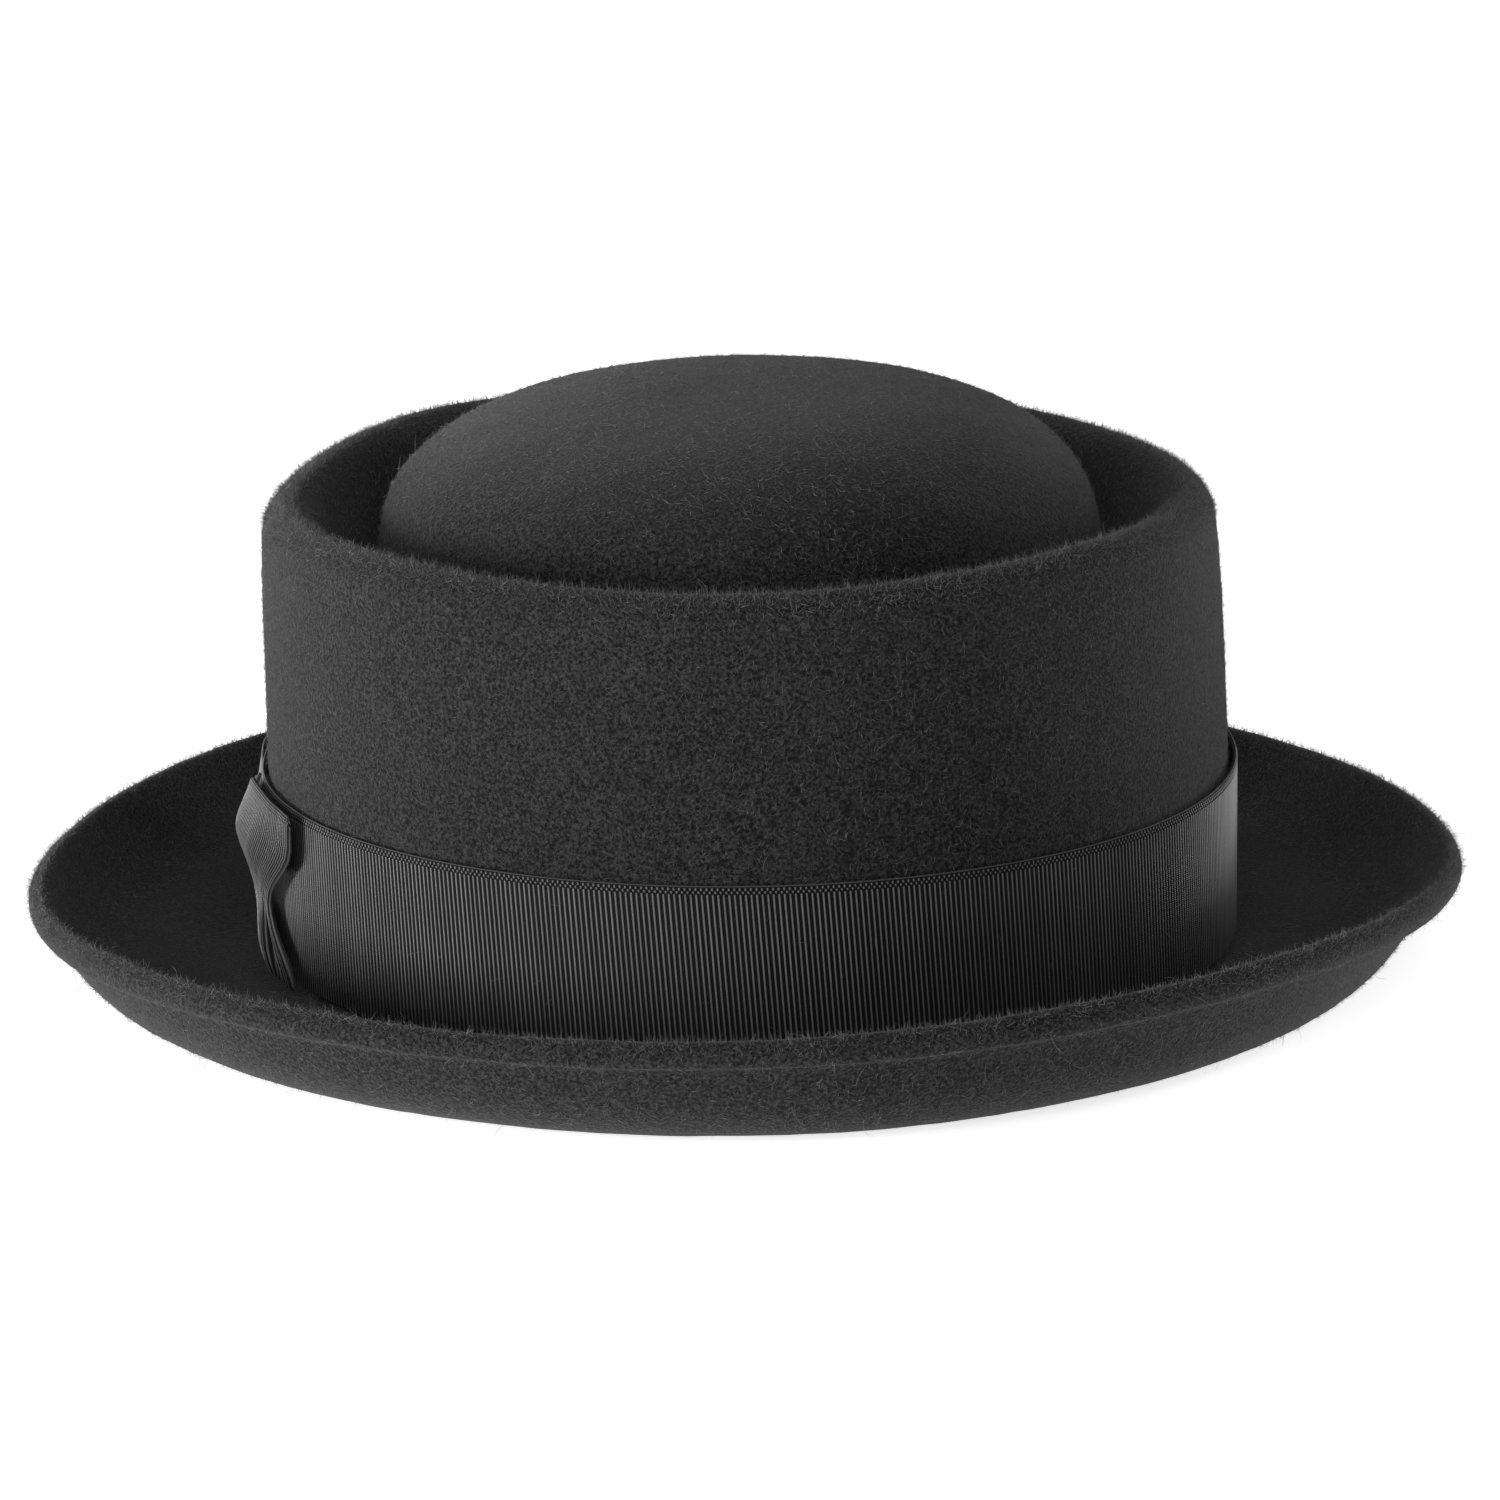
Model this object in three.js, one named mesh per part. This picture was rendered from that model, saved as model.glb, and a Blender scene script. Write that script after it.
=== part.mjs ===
// A felt porkpie hat: a flat-sided crown whose top is telescoped into a moat and a dome,
// a brim that curls up to a folded edge, a ribbed ribbon band and a flat ribbon bow.
// Millimetres, +Z up. The hat rests on the underside of its brim at z = 0.
// The hat's front is +Y, and the bow is on the wearer's left, -X.

import * as THREE from 'three';

// Felt
const feltThickness = 2.3;

// Crown, measured on the outside of the felt at its foot
const crownHalfWidth = 87.5;
const crownBackDepth = 94;
const crownFrontDepth = 111;
const crownTaper = 0.9;            // how far the wall draws in from its foot to the rim
const crownLean = -1.6;            // how far the rim sits to one side of the foot
const rimHeight = 85;              // top of the rolled rim above the table
const rimRadius = 5.6;             // outside of the rim's roll
const moatDepth = 18;              // from the top of the rim to the moat's floor
const moatRadius = 3.2;            // hollow of the moat's floor

// Dome inside the rim
const domeHeight = 102;            // top of the dome above the table
const domeFootInset = 21.5;        // from the outside of the wall to the foot of the dome
const domeRoundness = 3.1;         // 2 is an ellipse, more is a flatter top
const domePeakShift = 5;           // how far the peak sits to one side of the foot

// Brim
const brimWidth = 43.5;            // from the crown to the outermost point of the folded edge
const brimEdgeHeight = 20;         // top of the folded edge above the table
const brimBreakRadius = 2;         // hollow corner between crown and brim
const curlRadius = 14;             // hollow of the curl, on its upper face
const curlAngle = 76;              // degrees that the brim turns up
const weltThickness = 4.8;         // folded edge, both layers
const weltDepth = 4.6;             // from the top of the fold down to the raw edge

// Ribbon
const ribbonThickness = 1;
const ribbonWidth = 32;
const ribbonGap = 0.3;             // clearance between a ribbon and what it lies on
const bandLift = 0.2;              // from the end of the brim's hollow corner to the band

// Bow
const bowLength = 82;              // end to end, along the band
const knotWidth = 12;              // along the band
const knotHeight = 17;             // of the loops where the knot gathers them
const knotLift = 19.5;             // from the band's lower edge to the middle of the knot
const knotSwell = 0.9;             // how far the middle of the knot swells out
const loopHollow = 1.4;            // between a loop's two layers at its end
const loopEndLift = 2;             // how far a loop's end stands off the band
const loopEndNotch = 8;            // how far the middle of a loop's end is drawn to the knot
const loopPleat = 0.9;             // depth of the pleat that runs along the middle of a loop
const loopSwell = 1.1;             // how far a loop's outer layer swells out

// Sides round the hat
const feltSides = 64;
const bandSides = 72;

// Steps in each round stretch of the felt's section, and on its under face
const domeSteps = 9;
const domeUnderSteps = 7;
const moatSteps = 4;
const rimSteps = 6;
const rimUnderSteps = 4;
const breakSteps = 2;
const curlSteps = 5;
const foldSteps = 4;

// Steps in the bow's ribbons
const loopColumns = 8;             // across a loop
const loopSpans = 6;               // from the knot to a loop's end
const loopTurnSteps = 4;           // round a loop's end
const knotColumns = 4;
const knotSpans = 6;

const degree = Math.PI / 180;
const rightAngle = Math.PI / 2;
const fullTurn = 2 * Math.PI;

// How the brim and the rim change round the hat, in eighths of a turn from the wearer's right:
// reach is a share of brimWidth, edge of brimEdgeHeight, curl of curlAngle, rim of rimHeight.
const roundTheHat = [
  { place: 'right', reach: 0.98, edge: 0.91, curl: 0.69, rim: 1.004 },
  { place: 'front right', reach: 1, edge: 0.71, curl: 0.85, rim: 0.99 },
  { place: 'front', reach: 1, edge: 0.8, curl: 1, rim: 0.985 },
  { place: 'front left', reach: 1.02, edge: 0.8, curl: 0.9, rim: 1.015 },
  { place: 'left', reach: 1.03, edge: 0.79, curl: 0.84, rim: 1 },
  { place: 'back left', reach: 1.02, edge: 1, curl: 0.95, rim: 1.018 },
  { place: 'back', reach: 1, edge: 1.06, curl: 1, rim: 1.005 },
  { place: 'back right', reach: 0.97, edge: 1.16, curl: 0.86, rim: 1.025 },
];

// A column of the table at any turn, with a smooth curve through its rows.
function shareAt(column, turn) {
  const count = roundTheHat.length;
  const place = (turn / fullTurn) * count;
  const row = Math.floor(place);
  const along = place - row;
  const value = (step) => roundTheHat[(((row + step) % count) + count) % count][column];
  const leaving = (value(1) - value(-1)) / 2;
  const arriving = (value(2) - value(0)) / 2;
  const rise = value(1) - value(0);
  const bend = leaving + arriving - 2 * rise;
  return value(0) + along * (leaving + along * (rise - leaving - bend + along * bend));
}

// Sizes that follow from the ones above
const bandBottom = feltThickness + brimBreakRadius + bandLift;
const bandTop = bandBottom + ribbonWidth;
const domeFootReach = crownHalfWidth - domeFootInset;

// A point on the oval at a reach, measured across the hat, and a turn round it. Inside the
// foot of the dome the oval shrinks to a point at the peak.
function ovalPoint(reach, turn, height) {
  const depth = Math.sin(turn) < 0 ? crownBackDepth : crownFrontDepth;
  const longer = (depth - crownHalfWidth) * Math.min(1, reach / domeFootReach);
  const climbed = Math.max(0, height - bandTop) / (rimHeight - bandTop);
  const inward = 1 - Math.min(1, reach / domeFootReach) ** 2;
  const across = crownLean * climbed + domePeakShift * inward;
  return new THREE.Vector3(
    reach * Math.cos(turn) + across, (reach + longer) * Math.sin(turn), height);
}

// Points of a round stretch in the section plane, from one direction to another.
function roundStretch(reach, height, radius, from, to, steps) {
  const points = [];
  for (let step = 0; step <= steps; step += 1) {
    const direction = from + ((to - from) * step) / steps;
    points.push([reach + radius * Math.cos(direction), height + radius * Math.sin(direction)]);
  }
  return points;
}

// The dome's section from its peak to its foot, as a rounded ellipse.
function domeStretch(footReach, footHeight, peakHeight, steps) {
  const points = [];
  for (let step = 1; step <= steps; step += 1) {
    const direction = rightAngle * (1 - step / steps);
    const power = 2 / domeRoundness;
    points.push([
      footReach * Math.max(0, Math.cos(direction)) ** power,
      footHeight + (peakHeight - footHeight) * Math.max(0, Math.sin(direction)) ** power,
    ]);
  }
  return points;
}

// The felt's section at a turn: from the dome's peak over the upper face to the folded edge,
// then back along the under face to the hollow below the peak.
function feltSection(turn) {
  const rimTop = rimHeight * shareAt('rim', turn);
  const edgeTop = brimEdgeHeight * shareAt('edge', turn);
  const edgeReach = crownHalfWidth + brimWidth * shareAt('reach', turn);

  // Dome, moat and rim. A straight stretch touches both the moat's and the rim's rounds.
  const moatHeight = rimHeight - moatDepth + moatRadius;
  const moatReach = domeFootReach + moatRadius;
  const rimReach = crownHalfWidth - crownTaper - rimRadius;
  const rimCentre = rimTop - rimRadius;
  const apart = Math.hypot(rimReach - moatReach, rimCentre - moatHeight);
  const bearing = Math.atan2(rimCentre - moatHeight, rimReach - moatReach);
  const touch = bearing - Math.acos((moatRadius + rimRadius) / apart);

  // Brim: the fold is a half round on the end of the curl
  const curl = curlAngle * shareAt('curl', turn) * degree;
  const foldRadius = weltThickness / 2;
  const foldReach = edgeReach - foldRadius;
  const foldHeight = edgeTop - foldRadius;
  const curlHeight = feltThickness + curlRadius;
  const outward = [Math.sin(curl), -Math.cos(curl)];
  const down = [-Math.cos(curl), -Math.sin(curl)];
  const lip = [foldReach - foldRadius * outward[0], foldHeight - foldRadius * outward[1]];
  const curlTop = curlHeight - curlRadius * Math.cos(curl);
  const lipLength = (lip[1] - curlTop) / Math.sin(curl);
  const curlReach = lip[0] - lipLength * Math.cos(curl) - curlRadius * Math.sin(curl);
  const weltOuter = [
    foldReach + foldRadius * outward[0] + (weltDepth - foldRadius) * down[0],
    foldHeight + foldRadius * outward[1] + (weltDepth - foldRadius) * down[1],
  ];
  const secondLayer = weltThickness - feltThickness;
  const weltInner = [
    weltOuter[0] - secondLayer * outward[0],
    weltOuter[1] - secondLayer * outward[1],
  ];

  // Radii of the under face, one felt thickness away
  const moatUnder = moatRadius + feltThickness;
  const rimUnder = rimRadius - feltThickness;
  const curlUnder = curlRadius + feltThickness;
  const breakUnder = brimBreakRadius + feltThickness;
  const footReach = crownHalfWidth + brimBreakRadius;
  const curlEnd = curl - rightAngle;
  const domeUnder = domeStretch(
    domeFootReach - feltThickness, moatHeight, domeHeight - feltThickness, domeUnderSteps);
  return [
    ...domeStretch(domeFootReach, moatHeight, domeHeight, domeSteps),
    ...roundStretch(moatReach, moatHeight, moatRadius, -Math.PI, touch, moatSteps).slice(1),
    ...roundStretch(rimReach, rimCentre, rimRadius, Math.PI + touch, 0, rimSteps),
    [crownHalfWidth, bandTop],
    ...roundStretch(footReach, breakUnder, brimBreakRadius, Math.PI, 3 * rightAngle, breakSteps),
    ...roundStretch(curlReach, curlHeight, curlRadius, -rightAngle, curlEnd, curlSteps),
    ...roundStretch(foldReach, foldHeight, foldRadius, rightAngle + curl, curlEnd, foldSteps),
    weltOuter,
    weltInner,
    ...roundStretch(curlReach, curlHeight, curlUnder, curlEnd, -rightAngle, curlSteps),
    ...roundStretch(footReach, breakUnder, breakUnder, -rightAngle, -Math.PI, breakSteps),
    [crownHalfWidth - feltThickness, bandTop],
    [rimReach + rimUnder, rimCentre],
    ...roundStretch(rimReach, rimCentre, rimUnder, 0, Math.PI + touch, rimUnderSteps).slice(1),
    ...roundStretch(moatReach, moatHeight, moatUnder, touch, -Math.PI, moatSteps),
    ...domeUnder.slice(0, -1).reverse(),
  ];
}

// A mesh from rings of points. An open stack of rings is closed at each end by one point.
function meshFromRings(name, rings, firstPoint, lastPoint, material) {
  const sides = rings[0].length;
  const points = rings.flat();
  const triangles = [];
  rings.slice(1).forEach((ring, index) => {
    for (let side = 0; side < sides; side += 1) {
      const next = (side + 1) % sides;
      const upper = index * sides;
      const lower = upper + sides;
      triangles.push(upper + side, lower + side, lower + next);
      triangles.push(upper + side, lower + next, upper + next);
    }
  });
  const first = points.length;
  const last = first + 1;
  points.push(firstPoint, lastPoint);
  const end = (rings.length - 1) * sides;
  for (let side = 0; side < sides; side += 1) {
    const next = (side + 1) % sides;
    triangles.push(first, side, next);
    triangles.push(last, end + next, end + side);
  }
  return meshFromTriangles(name, points, triangles, material);
}

// A named mesh from its corners and the triangles that join them.
function meshFromTriangles(name, points, triangles, material) {
  const geometry = new THREE.BufferGeometry();
  geometry.setFromPoints(points);
  geometry.setIndex(triangles);
  geometry.computeVertexNormals();
  const mesh = new THREE.Mesh(geometry, material);
  mesh.name = name;
  return mesh;
}

// A strip of ribbon from loops of corners round its section. A closed strip runs back to its
// start, and an open one has flat ends.
function meshFromLoops(name, loops, closed, material) {
  const corners = loops[0].length;
  const points = loops.flat();
  const triangles = [];
  const spans = closed ? loops.length : loops.length - 1;
  for (let span = 0; span < spans; span += 1) {
    const here = span * corners;
    const there = ((span + 1) % loops.length) * corners;
    for (let corner = 0; corner < corners; corner += 1) {
      const next = (corner + 1) % corners;
      triangles.push(here + corner, there + corner, there + next);
      triangles.push(here + corner, there + next, here + next);
    }
  }
  if (!closed) {
    const end = (loops.length - 1) * corners;
    for (let corner = 0; corner < corners / 2 - 1; corner += 1) {
      const across = corners - 2 - corner;
      triangles.push(corner, corner + 1, across);
      triangles.push(corner, across, across + 1);
      triangles.push(end + corner, end + across, end + corner + 1);
      triangles.push(end + corner, end + across + 1, end + across);
    }
  }
  return meshFromTriangles(name, points, triangles, material);
}

const felt = new THREE.MeshStandardMaterial({ color: 0x1c1c1d, roughness: 0.95, metalness: 0 });
const ribbon = new THREE.MeshStandardMaterial({ color: 0x17171a, roughness: 0.55, metalness: 0 });

// The felt is one piece, from the dome's peak out to the folded edge of the brim.
function makeFeltBody() {
  const sections = [];
  for (let side = 0; side < feltSides; side += 1) {
    sections.push(feltSection((fullTurn * side) / feltSides));
  }
  const rings = sections[0].map((unused, row) => sections.map((section, side) => {
    const [reach, height] = section[row];
    return ovalPoint(reach, (fullTurn * side) / feltSides, height);
  }));
  const peak = ovalPoint(0, 0, domeHeight);
  const underPeak = ovalPoint(0, 0, domeHeight - feltThickness);
  return meshFromRings('felt_body', rings, peak, underPeak, felt);
}

// The band lies round the crown's foot.
function makeHatBand() {
  const inner = crownHalfWidth + ribbonGap;
  const outer = inner + ribbonThickness;
  const loops = [];
  for (let side = 0; side < bandSides; side += 1) {
    const turn = (fullTurn * side) / bandSides;
    loops.push([
      ovalPoint(inner, turn, bandBottom),
      ovalPoint(outer, turn, bandBottom),
      ovalPoint(outer, turn, bandTop),
      ovalPoint(inner, turn, bandTop),
    ]);
  }
  return meshFromLoops('hat_band', loops, true, ribbon);
}

// A place on the bow: along the band from the middle of the bow towards the hat's back, out
// from the band's face, and up from the band's lower edge.
function bowPoint([along, out, up]) {
  const reach = crownHalfWidth + ribbonGap + ribbonThickness + out;
  const depth = along > 0 ? crownBackDepth : crownFrontDepth;
  return ovalPoint(reach, Math.PI + along / depth, bandBottom + up);
}

// A strip of ribbon whose middle surface is given by rows of places on the bow.
function ribbonStrip(name, rows) {
  const place = (row, column) => new THREE.Vector3(...rows[row][column]);
  const lastRow = rows.length - 1;
  const lastColumn = rows[0].length - 1;
  const loops = rows.map((row, here) => {
    const faces = [1, -1].map((side) => row.map((unused, column) => {
      const onward = place(Math.min(here + 1, lastRow), column)
        .sub(place(Math.max(here - 1, 0), column));
      const across = place(here, Math.min(column + 1, lastColumn))
        .sub(place(here, Math.max(column - 1, 0)));
      const normal = onward.cross(across).setLength((side * ribbonThickness) / 2);
      return bowPoint(place(here, column).add(normal).toArray());
    }));
    return [...faces[1], ...faces[0].reverse()];
  });
  return meshFromLoops(name, loops, false, ribbon);
}

// A loop lies flat under the knot, lifts off the band to its end, turns back there and returns
// over itself. It fans out from the knot to the full width of the ribbon, with a pleat along
// its middle that draws the middle of its end in.
function makeBowLoop(name, side) {
  const foldRadius = (loopHollow + ribbonThickness) / 2;
  const lowAtKnot = knotLift - knotHeight / 2;
  const highAtKnot = knotLift + knotHeight / 2;
  const root = ribbonGap / 2;
  const knotEdge = knotWidth / 2;
  const path = [{ share: 0, turned: 0, underKnot: true }];
  for (let span = 0; span <= loopSpans; span += 1) {
    path.push({ share: span / loopSpans, turned: 0 });
  }
  for (let step = 1; step < loopTurnSteps; step += 1) {
    path.push({ share: 1, turned: step / loopTurnSteps });
  }
  for (let span = loopSpans; span >= 0; span -= 1) {
    path.push({ share: span / loopSpans, turned: 1 });
  }
  path.push({ share: 0, turned: 1, underKnot: true });
  const rows = path.map(({ share, turned, underKnot }) => {
    const opened = Math.sin(rightAngle * share);
    const halfWay = Math.sin(Math.PI * share) ** 2;
    const low = lowAtKnot * (1 - opened);
    const high = highAtKnot + (ribbonWidth - highAtKnot) * opened;
    const row = [];
    for (let column = 0; column <= loopColumns; column += 1) {
      const across = column / loopColumns;
      const middle = Math.sin(Math.PI * across) ** 2;
      const lobes = Math.sin(2 * Math.PI * across) ** 2;
      const length = bowLength / 2 - foldRadius - loopEndNotch * middle;
      const reached = underKnot ? root : knotEdge + (length - knotEdge) * share;
      const hollow = ribbonThickness + ribbonGap + (loopHollow - ribbonGap) * opened ** 2
        + (loopSwell * lobes - loopPleat * middle * (1 - share)) * halfWay;
      const along = reached + foldRadius * Math.sin(Math.PI * turned);
      const under = ribbonGap + ribbonThickness / 2 + loopEndLift * share ** 2;
      const out = under + (hollow * (1 - Math.cos(Math.PI * turned))) / 2;
      row.push([side * along, out, low + (high - low) * across]);
    }
    return side > 0 ? row : row.reverse();
  });
  return ribbonStrip(name, rows);
}

// The knot is a short ribbon that wraps over both loops and ends against the band.
function makeBowKnot() {
  const half = ribbonThickness / 2;
  const overLoops = 2 * ribbonThickness + 3 * ribbonGap + half;
  const low = knotLift - knotHeight / 2 - ribbonGap - half;
  const high = knotLift + knotHeight / 2 + ribbonGap + half;
  const bend = ribbonThickness;
  const leg = overLoops - bend;
  const midBendOut = leg + bend * Math.SQRT1_2;
  const midBendUp = bend * (1 - Math.SQRT1_2);
  const faceHeight = high - low - 2 * bend;
  const path = [[ribbonGap, low], [leg, low], [midBendOut, low + midBendUp]];
  for (let span = 0; span <= knotSpans; span += 1) {
    const share = span / knotSpans;
    const out = overLoops + knotSwell * Math.sin(Math.PI * share);
    path.push([out, low + bend + faceHeight * share]);
  }
  path.push([midBendOut, high - midBendUp], [leg, high], [ribbonGap, high]);
  const rows = path.map(([out, up]) => {
    const row = [];
    for (let column = 0; column <= knotColumns; column += 1) {
      row.push([knotWidth * (column / knotColumns - 0.5), out, up]);
    }
    return row;
  });
  return ribbonStrip('bow_knot', rows);
}

// The hat stands on its brim with the middle of its box over the origin.
const pieces = new THREE.Group();
pieces.add(makeFeltBody(), makeHatBand());
pieces.add(makeBowLoop('bow_loop_back', 1), makeBowLoop('bow_loop_front', -1), makeBowKnot());
const box = new THREE.Box3().setFromObject(pieces);
const middle = box.getCenter(new THREE.Vector3());
pieces.position.set(-middle.x, -middle.y, -box.min.z);
const hat = new THREE.Group();
hat.add(pieces);

export default hat;
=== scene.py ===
# %% [markdown]
# # A felt porkpie hat
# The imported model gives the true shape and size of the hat: the felt, the ribbon band and the
# three ribbons of the bow. This lesson dresses them. The felt gets a smooth skin, a nap of
# short fibres and some loose hairs, and the ribbons get their woven ribs.
# Everything is in metres, with +Z up, the hat's back towards -Y and the bow at -X.

import math

import bpy
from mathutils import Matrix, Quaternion, Vector
from mathutils.bvhtree import BVHTree


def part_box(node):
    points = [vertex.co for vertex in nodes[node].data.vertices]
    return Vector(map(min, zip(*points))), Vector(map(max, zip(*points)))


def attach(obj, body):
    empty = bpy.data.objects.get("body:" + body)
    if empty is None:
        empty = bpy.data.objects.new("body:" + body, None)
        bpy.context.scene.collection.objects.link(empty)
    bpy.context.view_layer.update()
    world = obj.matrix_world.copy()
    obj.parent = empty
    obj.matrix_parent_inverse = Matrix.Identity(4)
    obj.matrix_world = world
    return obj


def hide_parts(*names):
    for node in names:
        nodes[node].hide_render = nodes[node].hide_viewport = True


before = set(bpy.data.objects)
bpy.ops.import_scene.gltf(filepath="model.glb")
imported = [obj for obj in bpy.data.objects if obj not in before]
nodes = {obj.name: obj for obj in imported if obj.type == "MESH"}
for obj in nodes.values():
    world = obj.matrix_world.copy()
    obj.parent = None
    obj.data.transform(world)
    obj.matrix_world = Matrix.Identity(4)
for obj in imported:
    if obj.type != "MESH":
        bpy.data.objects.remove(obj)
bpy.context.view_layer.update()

MM = 0.001
BODY = "root"
print("nodes:", sorted(nodes))

# %% [markdown]
# ## Small helpers
# Most of Blender's operators act on what is selected, and the loaded model is selected when it
# arrives. So each step starts by choosing one object and nothing else. Modifiers are applied as
# soon as they have done their work, so that every finished piece is a plain mesh. A material
# starts as a node tree with one shader, whose sockets are set from a list of names and values.

# %% Helpers for choosing, applying and finishing
def only(obj):
    bpy.ops.object.select_all(action="DESELECT")
    obj.select_set(True)
    bpy.context.view_layer.objects.active = obj


def apply_all(obj):
    only(obj)
    for modifier in list(obj.modifiers):
        bpy.ops.object.modifier_apply(modifier=modifier.name)


def edit(obj, *steps):
    """Runs edit-mode operators on all of an object's faces."""
    only(obj)
    bpy.ops.object.mode_set(mode="EDIT")
    bpy.ops.mesh.select_all(action="SELECT")
    for step in steps:
        step()
    bpy.ops.object.mode_set(mode="OBJECT")


def finish_piece(obj, material, slot, *stands_for):
    obj.data.materials.clear()
    obj.data.materials.append(material)
    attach(obj, BODY)
    if stands_for:
        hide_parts(*stands_for)
    obj.data.calc_loop_triangles()
    print(f"{obj.name}: {len(obj.data.loop_triangles)} triangles")


# %% Helpers for materials
def set_inputs(node, values):
    for socket, value in values.items():
        node.inputs[socket].default_value = value


def new_material(name, shader_values):
    material = bpy.data.materials.new(name)
    material.use_nodes = True
    shader = material.node_tree.nodes["Principled BSDF"]
    set_inputs(shader, shader_values)
    return material, material.node_tree, shader


# %% [markdown]
# ## The camera
# The photograph looks at the hat's back from a little above, with a long lens, so the outline
# hardly narrows with distance. The picture is tilted by less than a degree.

# %% Camera
camera_elevation = math.radians(14)
camera_roll = math.radians(0.8)
camera_distance = 1.25
aim = Vector((1.13 * MM, -8.5 * MM, 36.5 * MM))
picture_width = 1500
pixels_per_metre = 5480

bpy.ops.object.camera_add()
camera = bpy.context.active_object
camera.name = "camera"
camera.data.sensor_width = 36
camera.data.lens = pixels_per_metre * camera_distance / picture_width * camera.data.sensor_width
towards_camera = Vector((0, -math.cos(camera_elevation), math.sin(camera_elevation)))
camera.location = aim + towards_camera * camera_distance
camera.rotation_mode = "QUATERNION"
level = (-towards_camera).to_track_quat("-Z", "Y")
camera.rotation_quaternion = level @ Quaternion((0, 0, 1), -camera_roll)
bpy.context.scene.camera = camera
print("lens:", round(camera.data.lens, 1), "mm")

# %% [markdown]
# ## Floor and light
# Small black things are often photographed on a white table that is lit from below, so that
# the ground stays white and the undersides are not lost. The floor here glows in that way. A
# strong lamp low on the left makes the left of the crown lighter than its right, and a weak
# wide one in front keeps the middle from going black. A narrow one behind each side draws a
# thin light line along the outline. Black felt needs that line, because there is little else
# to show its form.

# %% Floor
floor_size = 60
floor_gap = 0.3 * MM
floor_glow = 0.75

bpy.ops.mesh.primitive_plane_add(size=floor_size, location=(0, 0, -floor_gap))
floor = bpy.context.active_object
floor.name = "floor"

floor_paint, tree, shader = new_material("floor_paint", {
    "Base Color": (0.98, 0.98, 0.98, 1),
    "Roughness": 0.9,
    "Emission Color": (1, 1, 1, 1),
    "Emission Strength": floor_glow,
})
floor.data.materials.append(floor_paint)
print("floor:", floor_size, "m wide,", round(floor_gap / MM, 1), "mm under the hat")

# %% World and lamps
bpy.context.scene.view_settings.view_transform = "Standard"

world = bpy.data.worlds.new("pale_studio")
bpy.context.scene.world = world
world.use_nodes = True
set_inputs(world.node_tree.nodes["Background"], {"Color": (1, 1, 1, 1), "Strength": 0.3})


def soft_lamp(name, place, width, height, watts):
    bpy.ops.object.light_add(type="AREA", location=place)
    lamp = bpy.context.active_object
    lamp.name = name
    lamp.data.shape = "RECTANGLE"
    lamp.data.size = width
    lamp.data.size_y = height
    lamp.data.energy = watts
    lamp.rotation_euler = (aim - Vector(place)).to_track_quat("-Z", "Y").to_euler()


soft_lamp("left_lamp", (-1.72, -0.78, 0.22), 0.6, 0.6, 46)
soft_lamp("front_lamp", (0.0, -2.2, 1.3), 1.6, 0.8, 14)
soft_lamp("left_edge_lamp", (-1.3, 0.8, 0.25), 0.4, 0.6, 10)
soft_lamp("right_edge_lamp", (1.4, 0.75, 0.3), 0.3, 0.5, 9)

# %% [markdown]
# ## A shared shader group
# Felt, fibres and ribbon are never one even colour. The same effect serves all three, so it
# is built once as a node group. It mixes a coarse and a fine noise into one value around 1,
# which multiplies a colour, and it also gives the fine noise alone, for bump.

# %% Group helpers
def new_group(name, inputs, outputs):
    group = bpy.data.node_groups.new(name, "ShaderNodeTree")
    for socket, kind, value in inputs:
        made = group.interface.new_socket(socket, in_out="INPUT", socket_type=kind)
        if value is not None:
            made.default_value = value
    for socket, kind in outputs:
        group.interface.new_socket(socket, in_out="OUTPUT", socket_type=kind)
    start = group.nodes.new("NodeGroupInput")
    end = group.nodes.new("NodeGroupOutput")
    return group, start, end


def add(tree, kind, **settings):
    """A node with settings for its fields, and values for its inputs in a dict called at."""
    node = tree.nodes.new(kind)
    input_values = settings.pop("at", {})
    for field, value in settings.items():
        setattr(node, field, value)
    set_inputs(node, input_values)
    return node


def join(tree, source, target):
    tree.links.new(source, target)


def maths(tree, operation, first, second=0.0):
    """A math node whose inputs are numbers or sockets."""
    node = add(tree, "ShaderNodeMath", operation=operation)
    for place, value in enumerate((first, second)):
        if isinstance(value, (int, float)):
            node.inputs[place].default_value = value
        else:
            join(tree, value, node.inputs[place])
    return node.outputs[0]


def mottled(tree, vector, values):
    """A mottling node with its own values, reading these coordinates."""
    node = add(tree, "ShaderNodeGroup", node_tree=mottling, at=values)
    join(tree, vector, node.inputs["Vector"])
    return node


def scaled_colour(tree, colour, amount):
    """A colour times a value that changes over the surface."""
    node = add(tree, "ShaderNodeVectorMath", operation="SCALE")
    node.inputs[0].default_value = colour
    join(tree, amount, node.inputs["Scale"])
    return node.outputs["Vector"]


# %% Mottling group
mottling, start, end = new_group(
    "mottling",
    [
        ("Vector", "NodeSocketVector", None),
        ("Coarse Scale", "NodeSocketFloat", 60.0),
        ("Fine Scale", "NodeSocketFloat", 1800.0),
        ("Coarse Amount", "NodeSocketFloat", 0.3),
        ("Fine Amount", "NodeSocketFloat", 0.5),
    ],
    [("Value", "NodeSocketFloat"), ("Fine", "NodeSocketFloat")],
)
coarse = add(mottling, "ShaderNodeTexNoise", at={"Detail": 3.0, "Roughness": 0.6})
fine = add(mottling, "ShaderNodeTexNoise", at={"Detail": 2.0, "Roughness": 0.7})
for noise, scale in ((coarse, "Coarse Scale"), (fine, "Fine Scale")):
    join(mottling, start.outputs["Vector"], noise.inputs["Vector"])
    join(mottling, start.outputs[scale], noise.inputs["Scale"])
coarse_part = maths(
    mottling, "MULTIPLY", maths(mottling, "SUBTRACT", coarse.outputs["Fac"], 0.5),
    start.outputs["Coarse Amount"])
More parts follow.
